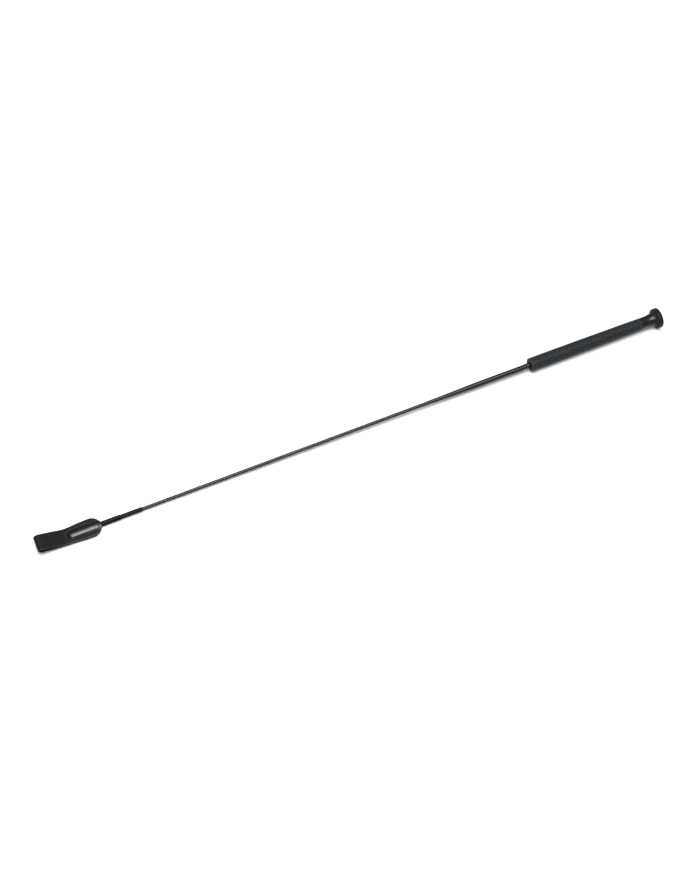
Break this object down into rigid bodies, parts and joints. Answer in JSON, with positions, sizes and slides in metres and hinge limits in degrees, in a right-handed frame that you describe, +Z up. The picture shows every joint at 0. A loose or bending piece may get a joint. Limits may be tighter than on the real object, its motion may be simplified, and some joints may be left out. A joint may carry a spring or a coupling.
{
  "type": "riding crop",
  "caption": "Slim tapered riding crop with a braided shaft, a rubber grip, a flared butt cap and a folded leather keeper that flexes at the tip.",
  "frame": {"origin": "the middle of the crop's bounding box, on the surface that the crop lies on", "axes": "+X runs from the keeper to the butt cap, +Y runs across the keeper's width, +Z is up from the surface"},
  "size_m": [0.7001, 0.022, 0.022],
  "materials": {
    "fibreglass": "satin",
    "build_up": "matte",
    "braid": "semi-gloss",
    "tip_plastic": "matte",
    "thread": "satin",
    "shrink_sleeve": "gloss",
    "leather": "satin",
    "stitch_thread": "satin",
    "tube_plastic": "matte",
    "collar_rubber": "matte",
    "grip_rubber": "matte",
    "cap_plastic": "gloss",
    "disc_plastic": "satin"
  },
  "bodies": {
    "crop": {"core_rod": "fibreglass", "stiffener_tube": "build_up", "braid_cover": "braid", "tip_cap": "tip_plastic", "tip_whipping": "thread", "neck_sleeve": "shrink_sleeve", "keeper_pocket": "leather", "keeper_stitching": "stitch_thread", "handle_tube": "tube_plastic", "front_collar": "collar_rubber", "grip_sleeve": "grip_rubber", "butt_cap": "cap_plastic", "end_disc": "disc_plastic"},
    "tongue": {"keeper_tongue": "leather"}
  },
  "joints": [
    {"name": "keeper_flex", "type": "hinge", "parent": "crop", "child": "tongue", "pos_m": [-0.32098, 0, 0.00351], "axis": [0, 1, 0], "range_deg": [-70, 45], "stiffness_Nm_per_rad": 0.05}
  ]
}
